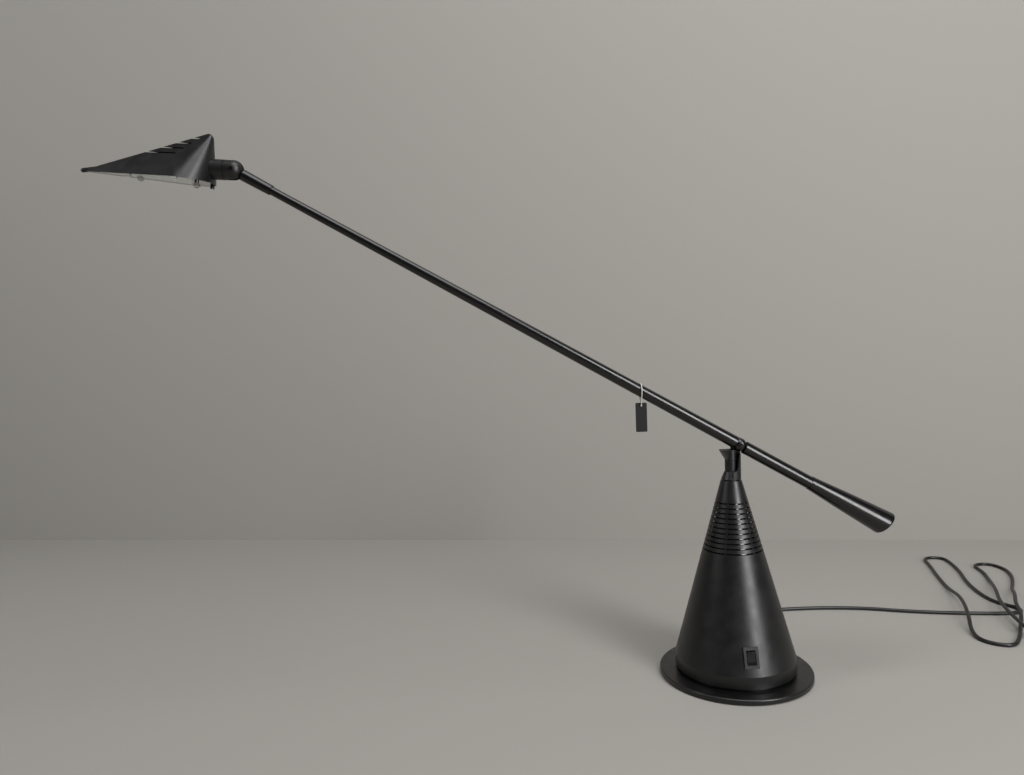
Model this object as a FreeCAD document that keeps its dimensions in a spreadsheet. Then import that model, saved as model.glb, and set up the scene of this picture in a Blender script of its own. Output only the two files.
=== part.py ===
import FreeCAD, Part
import math
import os
import re
import Sketcher

# Counterweight balance desk lamp. Millimetres, +Z up.
# The origin is the centre of the foot on the table, the switch faces -Y,
# the arm rises toward -X and its counterweight hangs on the +X side.

# ---------------------------------------------------------------- sizes
sizes = {
    # foot
    "pad_radius": 76, "pad_thickness": 1.2,
    "plate_radius": 80, "plate_thickness": 5, "plate_edge_round": 1.6,
    "spacer_setback": 3.5, "spacer_width": 8, "spacer_height": 3,
    # cone-shaped housing
    "housing_foot_radius": 63, "band_height": 12, "housing_wall": 2,
    "housing_top_radius": 10.9, "housing_top_z": 210, "housing_crown": 10,
    "rib_count": 6, "rib_width": 2.4, "groove_depth": 1,
    "vent_rows": 11, "vent_pitch": 5, "vent_height": 1.6, "vent_first_z": 136.2,
    "guard_gap": 3, "guard_wall": 1.2, "guard_rim": 2, "guard_overlap": 6, "guard_clearance": 0.1,
    # screws that hold the housing to the foot plate
    "boss_count": 3, "boss_radius": 5.8, "boss_bite": 0.4, "boss_height": 16,
    "boss_first_angle": 0,
    "screw_radius": 1.9, "screw_head_radius": 3.6, "screw_head_height": 2.2, "screw_length": 18,
    "screw_play": 0.3, "head_recess": 0.2, "tapped_floor": 1, "pad_hole_margin": 1,
    # mains rocker switch
    "switch_z": 39.5, "bezel_width": 15, "bezel_length": 21, "bezel_thickness": 1.8,
    "bezel_sink": 0.8, "switch_box_width": 12.4, "switch_box_length": 18.4, "switch_box_depth": 15,
    "rocker_width": 8.6, "rocker_length": 12.8, "rocker_rise": 1.5, "rocker_well": 5,
    "rocker_skirt": 2, "rocker_keel": 3, "rocker_dish": 0.9, "rocker_pin_z": -1,
    "rocker_tilt": 9, "rocker_pin_radius": 0.9, "rocker_side_gap": 0.4, "rocker_end_gap": 0.8,
    "pin_engagement": 1.5,
    # transformer
    "core_height": 47.5, "core_stack": 24, "core_limb": 9.5,
    "winding_overhang": 10, "winding_gap": 0.1,
    "strap_thickness": 1.5, "strap_width": 18, "strap_foot": 12,
    "terminal_length": 24, "terminal_width": 11, "terminal_height": 14, "terminal_gap": 0.5,
    # cord outlet
    "outlet_z": 15.2, "outlet_hole_radius": 5, "outlet_flange_radius": 5.8, "outlet_flange": 2.4,
    "relief_length": 30, "relief_root_radius": 4.4, "relief_tip_radius": 2.9, "outlet_tail": 8,
    "outlet_inside": 1,
    # cord and plug
    "cord_radius": 2.2, "cord_floor_gap": 0.1,
    "plug_length": 35, "plug_width": 26, "plug_height": 13.5,
    "plug_pin_radius": 2, "plug_pin_length": 19, "plug_pin_spacing": 19,
    "plug_relief_length": 18, "plug_relief_tip": 2.8, "plug_relief_root": 5.35, "plug_taper": 16,
    "plug_edge_round": 2,
    # swivel on top of the housing
    "bush_radius": 6.6, "bush_flange_radius": 8.6, "bush_flange": 1.1, "shaft_radius": 5,
    "wire_bore_radius": 2.6, "swivel_gap": 0.3, "shaft_drop": 26,
    "swivel_washer_radius": 9, "swivel_washer": 1, "swivel_nut_radius": 7.6, "swivel_nut": 5,
    # neck
    "neck_radius": 10.4, "post_radius": 6.3, "post_top_z": 231, "spine_top_z": 238.3,
    "neck_shoulder_z": 219.2, "neck_fillet": 5, "collar_lip": 0.6,
    "spine_left": 1, "spine_root_inset": 1.9, "spine_top_outset": 0.9,
    "cheek_thickness": 3.1, "cheek_right_x": 12.4, "cheek_foot_z": 213,
    "stop_seam": 0.4, "stop_top_z": 242.6, "stop_reach": 10.9, "stop_lip_root_z": 232.6,
    "stop_lip_half": 5.4, "stop_lip_edge": 0.9, "stop_root_inset": 0.6,
    # arm pivot
    "pivot_x": 9.8, "pivot_z": 247.4, "arm_rise": 30.5, "arm_drop": 25,
    "ball_radius": 7.2, "ball_flat": 6.1, "ball_front_flat": 6.5, "hub_reach": 6.2,
    "pivot_screw_radius": 2, "pivot_head_radius": 2.9, "pivot_head_height": 1.6, "pivot_head_round": 1.1,
    "pivot_washer_radius": 3.8, "pivot_washer": 0.8, "pivot_nut_radius": 4.1, "pivot_nut": 3.2,
    "thread_past_nut": 1, "moving_gap": 0.3, "spigot_length": 12,
    # arm tubes
    "knuckle_reach": 606.1, "tube_root_radius": 6.75, "tube_tip_radius": 4.3, "tube_wall": 1.2,
    "tube_end_setback": 22.1, "rod_radius": 6.85, "rod_wall": 2.2,
    "lead_radius": 1.4, "lead_end_gap": 1, "lead_side_gap": 0.2,
    "ferrule_setback": 44.1, "ferrule_small_radius": 5.4, "ferrule_large_radius": 5.95,
    "ferrule_gap": 0.5, "tongue_thickness": 4.8, "tongue_half_width": 4.4,
    # counterweight
    "weight_start": 86, "weight_neck_radius": 7.35, "weight_mid_reach": 128, "weight_mid_radius": 10.45,
    "weight_end_reach": 179, "weight_end_radius": 13.55, "weight_end_slant": 15,
    "weight_socket": 24, "weight_edge_round": 2.2, "weight_screw_radius": 1.5,
    "weight_screw_inset": 8, "weight_screw_sink": 0.6, "weight_overrun": 40,
    # knuckle
    "knuckle_radius": 10.3, "knuckle_seam_reach": 8.8, "knuckle_slot": 5.4,
    "knuckle_slot_top": 7.6, "knuckle_slot_back": 5.2, "knuckle_pin_radius": 2,
    "knuckle_spigot_radius": 5.6, "knuckle_spigot_length": 9, "roll_gap": 0.4, "knuckle_pin_sink": 0.5,
    # head
    "head_pitch": 4.3, "head_roll": 3, "stub_radius": 10.5, "stub_end_reach": 27, "stub_web": 3,
    "roll_screw_radius": 1.6, "roll_screw_head_radius": 3.6, "roll_screw_head": 2, "roll_screw_bite": 1,
    "shade_pitch": 3.3, "shade_back_reach": 20.4, "shade_back_drop": 14.8,
    "shade_length": 139.5, "shade_half_width": 32, "shade_tip_radius": 1.6, "shade_inner_tip": 1.2,
    "shade_wall": 1.6,
    "apex_setback": 3.6, "apex_height": 52.6, "apex_round": 5.5, "shade_top": 50.6,
    "louvre_count": 4, "louvre_pitch": 6.1, "louvre_first_z": 25.4, "louvre_height": 1.3,
    "louvre_back_first": 37.5, "louvre_back_step": 6.9,
    "nose_radius": 2.3, "nose_rise": 0.9,
    "reflector_gap": 1.4, "reflector_sheet": 0.8, "reflector_top": 42.5,
    "reflector_cut": 34, "reflector_cut_top": 27.2,
    "pane_inset": 0.5, "pane_thickness": 2.6,
    "clip_length": 6, "clip_depth": 4.6, "clip_drop": 3.2, "clip_overlap": 0.8,
    "clip_knob_length": 3.6, "clip_knob_depth": 2.8, "clip_side_reach": 45.5, "clip_back_turn": 4,
    "latch_radius": 2.2, "latch_height": 3.2, "latch_angle": 43,
    "holder_length": 18, "holder_width": 17, "holder_height": 12,
    "holder_screw_radius": 1.4, "holder_screw_inset": 2.7, "holder_screw_bite": 4,
    "holder_head_radius": 2.4, "holder_head": 1.4,
    "capsule_radius": 4.6, "capsule_length": 20, "capsule_gap": 1.5,
    "capsule_pin_radius": 0.6, "capsule_pin_spacing": 4, "capsule_pin_length": 6.5, "capsule_socket": 5,
    # swing tag on its string
    "tag_reach": 120.5, "tag_width": 12, "tag_height": 31, "tag_thickness": 1, "tag_corner": 1,
    "string_radius": 0.5, "knot_radius": 0.8, "string_drop": 7.5, "string_slack": 0.35, "tag_hole_inset": 3,
    # clearances and tool allowances shared by several pieces
    "press_play": 0.05, "shaft_play": 0.08, "seat_gap": 0.1, "spigot_play": 0.15, "cut_over": 1,
}

# route of the cord's centre line, from the outlet to the plug: x, y and
# how far the line stands above its resting height
cord_route = [
    (0, 110, 12.9), (6, 132, 4), (24, 152, 0), (50, 166, 0), (84, 176, 0), (126, 181, 0),
    (174, 180, 0), (222, 172.5, 0), (268, 156, 0), (318, 144.5, 0), (366, 137.5, 0), (401.5, 135.7, 0),
    (410, 153.2, 0), (396.5, 172, 0), (393.5, 192, 0),
    (396, 218, 0), (406, 261, 0), (426, 312, 0), (437, 354, 0), (441, 384, 0), (411, 388, 0),
    (400, 346, 0), (383, 296, 0), (366, 238, 0), (349, 178, 9), (323, 118, 9), (303, 78, 0),
    (301, 50, 0), (325, 34, 0), (347, 58, 0), (367.8, 88, 0), (385, 112, 9), (401, 148, 9),
    (424, 184, 9), (446, 224, 0), (470, 258, 0), (488, 290, 0), (496, 320, 0), (487, 346, 0),
    (461, 340, 0), (457, 306, 0), (440, 262, 0), (412, 206, 9), (388, 160, 9), (372, 118, 9.8),
    (358, 66, 9.8), (362, 38, 0), (380, 10, 4.55),
]
cord_end = (402, -14)                        # where the cord enters the plug
corner_share = 0.45                          # how much of a run each of its two bends takes

doc = FreeCAD.newDocument("DeskLamp")
sheet = doc.addObject("Spreadsheet::Sheet", "Sizes")
for row, (name, value) in enumerate(sizes.items(), start=1):
    sheet.set("A%d" % row, name)
    sheet.set("B%d" % row, str(value))
    sheet.setAlias("B%d" % row, name)
doc.recompute()


def size(name):
    return float(sheet.get(name))


def sized(text):
    """Point the size names in an expression at the sheet."""
    def pointed(word):
        return "Sizes." + word.group() if word.group() in sizes else word.group()

    return re.sub(r"[a-z]\w*", pointed, text)


# ---------------------------------------------------------------- helpers
parts = {}                                   # node name -> object
first_guess = 100                            # a sketch's corners start on a circle this large


def bind(item, **texts):
    for prop, text in texts.items():
        item.setExpression(prop, sized(text))


def put(item, x="0", y="0", z="0"):
    for axis, text in (("x", x), ("y", y), ("z", z)):
        item.setExpression("Placement.Base." + axis, sized(text))
    return item


turns = {"z": (0, 0, 1, 0), "x": (0, 1, 0, 90), "y": (1, 0, 0, -90)}


def turn_to(item, axis):
    ax, ay, az, angle = turns[axis]
    item.Placement = FreeCAD.Placement(FreeCAD.Vector(), FreeCAD.Rotation(FreeCAD.Vector(ax, ay, az), angle))


def rod(radius, height, x="0", y="0", z="0", along="z"):
    item = doc.addObject("Part::Cylinder", "Rod")
    turn_to(item, along)
    bind(item, Radius=radius, Height=height)
    return put(item, x, y, z)


def taper(radius, end_radius, height, x="0", y="0", z="0", along="z"):
    item = doc.addObject("Part::Cone", "Taper")
    turn_to(item, along)
    bind(item, Radius1=radius, Radius2=end_radius, Height=height)
    return put(item, x, y, z)


def ball(radius, x="0", y="0", z="0"):
    item = doc.addObject("Part::Sphere", "Ball")
    bind(item, Radius=radius)
    return put(item, x, y, z)


def block(length, width, height, x="0", y="0", z="0"):
    """A box centred on x and y that stands on z."""
    item = doc.addObject("Part::Box", "Block")
    bind(item, Length=length, Width=width, Height=height)
    return put(item, "%s - (%s) / 2" % (x, length), "%s - (%s) / 2" % (y, width), z)


def hexagon(radius, height, x="0", y="0", z="0", along="z"):
    item = doc.addObject("Part::Prism", "Hexagon")
    item.Polygon = 6
    turn_to(item, along)
    bind(item, Circumradius=radius, Height=height)
    return put(item, x, y, z)


def cut(base, tool):
    item = doc.addObject("Part::Cut", "Cut")
    item.Base = base
    item.Tool = tool
    return item


def join(*shapes):
    item = doc.addObject("Part::MultiFuse", "Join")
    item.Shapes = list(shapes)
    return item


def overlap(*shapes):
    item = doc.addObject("Part::MultiCommon", "Overlap")
    item.Shapes = list(shapes)
    return item


def group(*shapes):
    item = doc.addObject("Part::Compound", "Group")
    item.Links = list(shapes)
    return item


def shaped(shape):
    item = doc.addObject("Part::Feature", "Shaped")
    item.Shape = shape
    return item


def node(name, item, place=None):
    if place:
        item = group(item)
        item.Placement = place
    item.Label = name
    parts[name] = item
    return item


def outline(body, role, points):
    """A closed polygon on one of the body's origin planes, every corner bound to the sheet."""
    sketch = body.newObject("Sketcher::SketchObject", "Outline")
    plane = [item for item in body.Origin.OriginFeatures if item.Role == role][0]
    sketch.AttachmentSupport = [(plane, "")]
    sketch.MapMode = "FlatFace"
    count = len(points)
    turns_round = [2 * math.pi * i / count for i in range(count)]
    start = [FreeCAD.Vector(math.cos(turn), math.sin(turn), 0) * first_guess for turn in turns_round]
    for i in range(count):
        sketch.addGeometry(Part.LineSegment(start[i], start[(i + 1) % count]))
    for i in range(count):
        sketch.addConstraint(Sketcher.Constraint("Coincident", i, 2, (i + 1) % count, 1))
    for i, (across, up) in enumerate(points):
        for kind, text, guess in (("DistanceX", across, start[i].x), ("DistanceY", up, start[i].y)):
            index = sketch.addConstraint(Sketcher.Constraint(kind, -1, 1, i, 1, guess))
            sketch.setExpression("Constraints[%d]" % index, sized(text))
    return sketch


def turned(points):
    """A body of revolution about Z: the outline gives radius and height."""
    body = doc.addObject("PartDesign::Body", "Turned")
    sketch = outline(body, "XZ_Plane", points)
    feature = body.newObject("PartDesign::Revolution", "Revolution")
    feature.Profile = sketch
    feature.ReferenceAxis = (sketch, ["V_Axis"])
    feature.Angle = 360
    return body


def slab(points, thickness):
    """An outline in the XZ plane, padded by the same amount to each side of it."""
    body = doc.addObject("PartDesign::Body", "Slab")
    sketch = outline(body, "XZ_Plane", points)
    feature = body.newObject("PartDesign::Pad", "Pad")
    feature.Profile = sketch
    feature.Midplane = True
    bind(feature, Length=thickness)
    return body


def rounded(item, radius, wanted):
    """Fillet the edges that the test picks."""
    doc.recompute()
    picked = [i for i, edge in enumerate(item.Shape.Edges, start=1) if wanted(edge)]
    fillet = doc.addObject("Part::Fillet", "Fillet")
    fillet.Base = item
    fillet.Edges = [(i, size(radius), size(radius)) for i in picked]
    return fillet


def level(edge, height):
    box = edge.BoundBox
    return abs(box.ZMin - height) < 1e-6 and abs(box.ZMax - height) < 1e-6


def turned_place(x, z, axis, angle):
    return FreeCAD.Placement(FreeCAD.Vector(x, 0, z), FreeCAD.Rotation(FreeCAD.Vector(*axis), angle))


# ---------------------------------------------------------------- foot
plate_bottom = "pad_thickness"
plate_top = "(pad_thickness + plate_thickness)"
housing_bottom = "(pad_thickness + plate_thickness + spacer_height)"
cone_bottom = "(pad_thickness + plate_thickness + spacer_height + band_height)"
cone_slope = "((housing_foot_radius - housing_top_radius) / (housing_top_z - %s))" % cone_bottom
boss_circle = "(housing_foot_radius - housing_wall - boss_radius + boss_bite)"
spacer_radius = "(housing_foot_radius - spacer_setback)"


def outside(z):
    """The radius of the housing's cone at a height."""
    return "(housing_top_radius + (housing_top_z - (%s)) * %s)" % (z, cone_slope)


def spread(item, count_name, first_angle=0.0):
    """Copies of one item spaced evenly about Z."""
    copies = []
    for i in range(int(size(count_name))):
        link = doc.addObject("Part::Compound", "Copy")
        link.Links = [item]
        link.Placement = turned_place(0, 0, (0, 0, 1), first_angle + 360.0 * i / size(count_name))
        copies.append(link)
    return copies


def foot_screw_holes(radius, height, z):
    return group(*spread(rod(radius, height, x=boss_circle, z=z), "boss_count", size("boss_first_angle")))


node("foot_pad", cut(rod("pad_radius", "pad_thickness"),
                     foot_screw_holes("screw_head_radius + pad_hole_margin", "pad_thickness", "0")))

plate = rounded(rod("plate_radius", "plate_thickness", z=plate_bottom), "plate_edge_round",
                lambda edge: level(edge, size("pad_thickness") + size("plate_thickness")))
plate_holes = join(foot_screw_holes("screw_radius + screw_play", "plate_thickness", plate_bottom),
                   foot_screw_holes("screw_head_radius + screw_play", "screw_head_height + head_recess",
                                    plate_bottom))
strap_screw_x = "(3 * core_limb + strap_thickness + strap_foot / 2)"


def strap_screw_rods(radius, height, z):
    return [rod(radius, height, x=side + strap_screw_x, z=z) for side in ("", "-")]


strap_tapped = strap_screw_rods("screw_radius", "plate_thickness - tapped_floor", plate_bottom + " + tapped_floor")
node("foot_plate", cut(plate, group(plate_holes, *strap_tapped)))

spacer = cut(rod(spacer_radius, "spacer_height", z=plate_top),
             rod(spacer_radius + " - spacer_width", "spacer_height", z=plate_top))
node("spacer_ring", cut(spacer, foot_screw_holes("screw_radius + screw_play", "spacer_height", plate_top)))


# ---------------------------------------------------------------- housing
def vents():
    """Grooves right round the cone, cut through the wall between upright ribs."""
    rings = group(*[rod("housing_foot_radius", "vent_height", z="vent_first_z + %d * vent_pitch" % i)
                    for i in range(int(size("vent_rows")))])
    rib = block("housing_foot_radius", "rib_width", "vent_rows * vent_pitch",
                x="housing_foot_radius / 2", z="vent_first_z")
    core = taper(outside("vent_first_z") + " - groove_depth",
                 outside("vent_first_z + vent_rows * vent_pitch") + " - groove_depth",
                 "vent_rows * vent_pitch", z="vent_first_z")
    return [cut(rings, join(*spread(rib, "rib_count"))), cut(rings, core)]


def switch_place():
    """Where the switch sits: its Z axis points out of the cone, its Y axis up the cone."""
    rise = size("housing_top_z") - size("pad_thickness") - size("plate_thickness") - size("spacer_height")
    rise -= size("band_height")
    slope = (size("housing_foot_radius") - size("housing_top_radius")) / rise
    lean = math.degrees(math.atan(slope))
    radius = size("housing_top_radius") + slope * (size("housing_top_z") - size("switch_z"))
    return FreeCAD.Placement(FreeCAD.Vector(0, -radius, size("switch_z")),
                             FreeCAD.Rotation(FreeCAD.Vector(1, 0, 0), 90 - lean))


shell = turned([
    ("0", "housing_top_z"), ("housing_top_radius", "housing_top_z"),
    ("housing_foot_radius", cone_bottom), ("housing_foot_radius", housing_bottom),
    ("housing_foot_radius - housing_wall", housing_bottom),
    ("housing_foot_radius - housing_wall", cone_bottom),
    ("housing_top_radius + housing_crown * %s - housing_wall" % cone_slope, "housing_top_z - housing_crown"),
    ("0", "housing_top_z - housing_crown")])
bosses = spread(rod("boss_radius", "boss_height", x=boss_circle, z=housing_bottom),
                "boss_count", size("boss_first_angle"))
pilot_depth = "screw_head_height + screw_length - plate_thickness - spacer_height + cut_over"
screw_pilot = foot_screw_holes("screw_radius", pilot_depth, housing_bottom)
bezel_seat = block("bezel_width + 2 * seat_gap", "bezel_length + 2 * seat_gap", "bezel_thickness + cut_over",
                   z="-bezel_sink")
switch_hole = block("switch_box_width + 2 * seat_gap", "switch_box_length + 2 * seat_gap", "6 * housing_wall",
                    z="-4 * housing_wall")
switch_cut = join(bezel_seat, switch_hole)
switch_cut.Placement = switch_place()
outlet_cut = rod("outlet_hole_radius", "3 * housing_wall", y="housing_foot_radius - 2 * housing_wall",
                 z="outlet_z", along="y")
bush_bore = rod("bush_radius + press_play", "housing_crown + 2 * cut_over",
                z="housing_top_z - housing_crown - cut_over")
housing = cut(join(shell, *bosses), group(screw_pilot, switch_cut, outlet_cut, bush_bore))
for vent in vents():
    housing = cut(housing, vent)
node("cone_housing", housing)


def inside(z, gap):
    """A radius that stays a gap inside the housing's wall at a height."""
    return outside(z) + " - housing_wall - " + gap


# black sleeve behind the vents: it keeps fingers off the mains parts, and its two rims rest in the cone
guard_bottom = "vent_first_z - guard_overlap"
guard_top = "vent_first_z + vent_rows * vent_pitch"
node("vent_guard", turned([
    (inside(guard_bottom, "guard_clearance"), guard_bottom),
    (inside(guard_bottom + " + guard_rim", "guard_clearance"), guard_bottom + " + guard_rim"),
    (inside(guard_bottom + " + guard_rim", "guard_gap"), guard_bottom + " + guard_rim"),
    (inside(guard_top + " - guard_rim", "guard_gap"), guard_top + " - guard_rim"),
    (inside(guard_top + " - guard_rim", "guard_clearance"), guard_top + " - guard_rim"),
    (inside(guard_top, "guard_clearance"), guard_top),
    (inside(guard_top, "guard_gap - guard_wall"), guard_top),
    (inside(guard_bottom, "guard_gap - guard_wall"), guard_bottom)]))

screw = join(rod("screw_head_radius", "screw_head_height", x=boss_circle, z=plate_bottom),
             rod("screw_radius", "screw_length", x=boss_circle, z="%s + screw_head_height" % plate_bottom))
node("foot_screws", group(*spread(screw, "boss_count", size("boss_first_angle"))))

# ---------------------------------------------------------------- mains switch
well = block("rocker_width + 2 * rocker_side_gap", "rocker_length + 2 * rocker_end_gap",
             "rocker_well + bezel_thickness", z="-rocker_well")
pin_bore = rod("rocker_pin_radius + press_play", "rocker_width + 2 * pin_engagement",
               x="-rocker_width / 2 - pin_engagement", z="rocker_pin_z", along="x")
switch_body = join(block("bezel_width", "bezel_length", "bezel_thickness", z="-bezel_sink"),
                   block("switch_box_width", "switch_box_length", "switch_box_depth", z="-switch_box_depth"))
node("switch_body", cut(switch_body, join(well, pin_bore)), switch_place())
node("switch_pin", rod("rocker_pin_radius", "rocker_width + 2 * pin_engagement - 2 * seat_gap",
                       x="-rocker_width / 2 - pin_engagement + seat_gap", z="rocker_pin_z", along="x"),
     switch_place())
rocker = slab([("-rocker_length / 2", "rocker_rise"), ("-rocker_length / 2", "-rocker_skirt"), ("0", "-rocker_keel"),
               ("rocker_length / 2", "-rocker_skirt"), ("rocker_length / 2", "rocker_rise"),
               ("0", "rocker_rise - rocker_dish")], "rocker_width")
rocker.Placement = turned_place(0, 0, (0, 0, 1), 90)
pivoted = cut(rocker, rod("rocker_pin_radius + press_play", "rocker_width + 2 * cut_over",
                          x="-rocker_width / 2 - cut_over", z="rocker_pin_z", along="x"))
to_pin = FreeCAD.Placement(FreeCAD.Vector(0, 0, size("rocker_pin_z")), FreeCAD.Rotation())
tilt = FreeCAD.Placement(FreeCAD.Vector(), FreeCAD.Rotation(FreeCAD.Vector(1, 0, 0), size("rocker_tilt")))
node("switch_rocker", pivoted,
     switch_place().multiply(to_pin).multiply(tilt).multiply(to_pin.inverse()))

# ---------------------------------------------------------------- transformer and terminals
window_height = "core_height - 2 * core_limb"
core = block("6 * core_limb", "core_stack", "core_height", z=plate_top)
windows = [block("core_limb", "core_stack + cut_over", window_height, x=side + "1.5 * core_limb",
                 z=plate_top + " + core_limb") for side in ("", "-")]
node("transformer_core", cut(core, group(*windows)))
winding = block("4 * core_limb - 2 * winding_gap", "core_stack + 2 * winding_overhang",
                window_height + " - 2 * winding_gap", z=plate_top + " + core_limb + winding_gap")
limb_hole = block("2 * core_limb + 2 * winding_gap", "core_stack + 2 * winding_gap", window_height,
                  z=plate_top + " + core_limb")
node("transformer_winding", cut(winding, limb_hole))
strap_span = "6 * core_limb + 2 * strap_thickness"
strap = join(block(strap_span, "strap_width", "core_height + strap_thickness", z=plate_top),
             block(strap_span + " + 2 * strap_foot", "strap_width", "strap_thickness", z=plate_top))
strap_holes = strap_screw_rods("screw_radius + screw_play", "strap_thickness", plate_top)
node("transformer_strap", cut(strap, group(block("6 * core_limb", "strap_width", "core_height", z=plate_top),
                                           *strap_holes)))
strap_screws = strap_screw_rods("screw_radius", "plate_thickness - tapped_floor + strap_thickness",
                                plate_bottom + " + tapped_floor")
strap_screw_heads = strap_screw_rods("screw_head_radius", "screw_head_height", plate_top + " + strap_thickness")
node("strap_screws", join(*strap_screws, *strap_screw_heads))
# the block's front corners stand just inside the spacer ring
terminal_front = "sqrt((%s - spacer_width - terminal_gap)^2 - (terminal_length / 2)^2)" % spacer_radius
node("terminal_block", block("terminal_length", "terminal_width", "terminal_height",
                             y=terminal_front + " - terminal_width / 2", z=plate_top))

# ---------------------------------------------------------------- cord outlet, cord and plug
relief_y = "(housing_foot_radius + outlet_flange)"
node("cord_outlet", join(
    rod("outlet_flange_radius", "outlet_flange", y="housing_foot_radius", z="outlet_z", along="y"),
    rod("outlet_hole_radius - seat_gap", "housing_wall + outlet_inside",
        y="housing_foot_radius - housing_wall - outlet_inside", z="outlet_z", along="y"),
    rod("relief_tip_radius", "outlet_tail", y="housing_foot_radius - outlet_tail", z="outlet_z", along="y"),
    taper("relief_root_radius", "relief_tip_radius", "relief_length", y=relief_y, z="outlet_z", along="y")))


def cord_path(points):
    """Straight runs joined by tangent arcs, each as large as its two runs allow."""
    edges = []
    last = points[0]
    for before, corner, after in zip(points, points[1:], points[2:]):
        back = before - corner
        ahead = after - corner
        turn = math.pi - back.getAngle(ahead)
        run = min(back.Length, ahead.Length)
        trim = corner_share * run
        radius = trim / math.tan(turn / 2)
        radii.append(radius)
        back.normalize()
        ahead.normalize()
        start = corner + back * trim
        end = corner + ahead * trim
        middle = back + ahead
        middle.normalize()
        centre = corner + middle * math.hypot(radius, trim)
        edges.append(Part.LineSegment(last, start).toShape())
        edges.append(Part.Arc(start, centre - middle * radius, end).toShape())
        last = end
    edges.append(Part.LineSegment(last, points[-1]).toShape())
    return Part.Wire(edges)


def tube(path, radius):
    first = path.Edges[0]
    direction = first.tangentAt(first.FirstParameter)
    ring = Part.Wire([Part.makeCircle(radius, path.Vertexes[0].Point, direction)])
    return path.makePipeShell([ring], True, False)


radii = []
resting = size("cord_radius") + size("cord_floor_gap")
exit_point = FreeCAD.Vector(0, size("housing_foot_radius") + size("outlet_flange") + size("relief_length"),
                            size("outlet_z"))
plug_middle = size("plug_height") / 2 + size("cord_floor_gap")
last_point = FreeCAD.Vector(cord_end[0], cord_end[1], plug_middle)
route = [exit_point] + [FreeCAD.Vector(x, y, resting + up) for x, y, up in cord_route] + [last_point]
path = cord_path(route)
node("mains_cord", shaped(tube(path, size("cord_radius"))))
print("cord length %.1f, volume ratio %.5f, radii %s" % (
    path.Length, parts["mains_cord"].Shape.Volume / (math.pi * size("cord_radius") ** 2 * path.Length),
    " ".join("%.1f" % radius for radius in radii)))

heading = last_point - route[-2]
heading.z = 0
plug_place = FreeCAD.Placement(last_point, FreeCAD.Rotation(FreeCAD.Vector(1, 0, 0), heading))
shoulder = "(plug_relief_length + plug_taper)"
plug_front = "(plug_relief_length + plug_length)"
grip = doc.addObject("PartDesign::Body", "PlugGrip")
grip_sketch = outline(grip, "XY_Plane", [
    ("plug_relief_length", "-plug_height / 2"), (shoulder, "-plug_width / 2"), (plug_front, "-plug_width / 2"),
    (plug_front, "plug_width / 2"), (shoulder, "plug_width / 2"), ("plug_relief_length", "plug_height / 2")])
grip_pad = grip.newObject("PartDesign::Pad", "Pad")
grip_pad.Profile = grip_sketch
grip_pad.Midplane = True
bind(grip_pad, Length="plug_height")
grip_round = rounded(grip, "plug_edge_round", lambda edge: level(edge, size("plug_height") / 2)
                     or level(edge, -size("plug_height") / 2))
node("plug_body", join(grip_round, taper("plug_relief_tip", "plug_relief_root", "plug_relief_length", along="x")),
     plug_place)
pins = [rod("plug_pin_radius", "plug_pin_length", x=plug_front, y=side + "plug_pin_spacing / 2", along="x")
        for side in ("", "-")]
node("plug_pins", group(*pins), plug_place)

# ---------------------------------------------------------------- swivel and neck
shaft_bottom = "(housing_top_z - shaft_drop)"
neck_bottom = "(housing_top_z + bush_flange + swivel_gap)"
node("swivel_bush", cut(join(rod("bush_radius", "housing_crown", z="housing_top_z - housing_crown"),
                             rod("bush_flange_radius", "bush_flange", z="housing_top_z")),
                        rod("shaft_radius + shaft_play", "housing_crown + bush_flange + 2 * cut_over",
                            z="housing_top_z - housing_crown - cut_over")))
washer_bottom = "(housing_top_z - housing_crown - swivel_gap - swivel_washer)"
node("swivel_washer", cut(rod("swivel_washer_radius", "swivel_washer", z=washer_bottom),
                          rod("shaft_radius", "swivel_washer", z=washer_bottom)))
nut_bottom = washer_bottom + " - swivel_nut"
node("swivel_nut", cut(hexagon("swivel_nut_radius", "swivel_nut", z=nut_bottom),
                       rod("shaft_radius", "swivel_nut", z=nut_bottom)))
post = join(rod("shaft_radius", "shaft_drop + bush_flange + swivel_gap", z=shaft_bottom),
            rod("post_radius", "post_top_z - " + neck_bottom, z=neck_bottom))
node("neck_post", cut(post, rod("wire_bore_radius", "post_top_z - housing_top_z + shaft_drop", z=shaft_bottom)))

# a tapered collar round the post's foot, with a hollowed wall that rises on the right
collar = taper("neck_radius", "post_radius + collar_lip", "neck_shoulder_z - " + neck_bottom, z=neck_bottom)
below_neck = neck_bottom + " - cut_over"
spine = slab([("-spine_left", below_neck), ("-spine_left", "neck_shoulder_z"),
              ("post_radius - spine_root_inset", "neck_shoulder_z"),
              ("post_radius + spine_top_outset", "spine_top_z"),
              ("neck_radius + cut_over", "spine_top_z"), ("neck_radius + cut_over", below_neck)],
             "2 * neck_radius + 2 * cut_over")
spine = rounded(spine, "neck_fillet", lambda edge: level(edge, size("neck_shoulder_z"))
                and edge.BoundBox.XMin > 0 and edge.BoundBox.XLength < 1e-6)
sleeve = join(collar, overlap(spine, rod("neck_radius", "spine_top_z + cut_over - " + neck_bottom, z=neck_bottom)))
cheek_y = "(ball_flat + pivot_washer + moving_gap)"
cheek_left = "(pivot_x - ball_radius)"
cheek_box = block("cheek_right_x - " + cheek_left, "cheek_thickness", "pivot_z - cheek_foot_z",
                  x="(cheek_right_x + %s) / 2" % cheek_left, y=cheek_y + " + cheek_thickness / 2", z="cheek_foot_z")
cheek_disc = rod("ball_radius", "cheek_thickness", x="pivot_x", y=cheek_y, z="pivot_z", along="y")
cheek_bore = rod("pivot_screw_radius + shaft_play", "2 * neck_radius", x="pivot_x", z="pivot_z", along="y")
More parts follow.
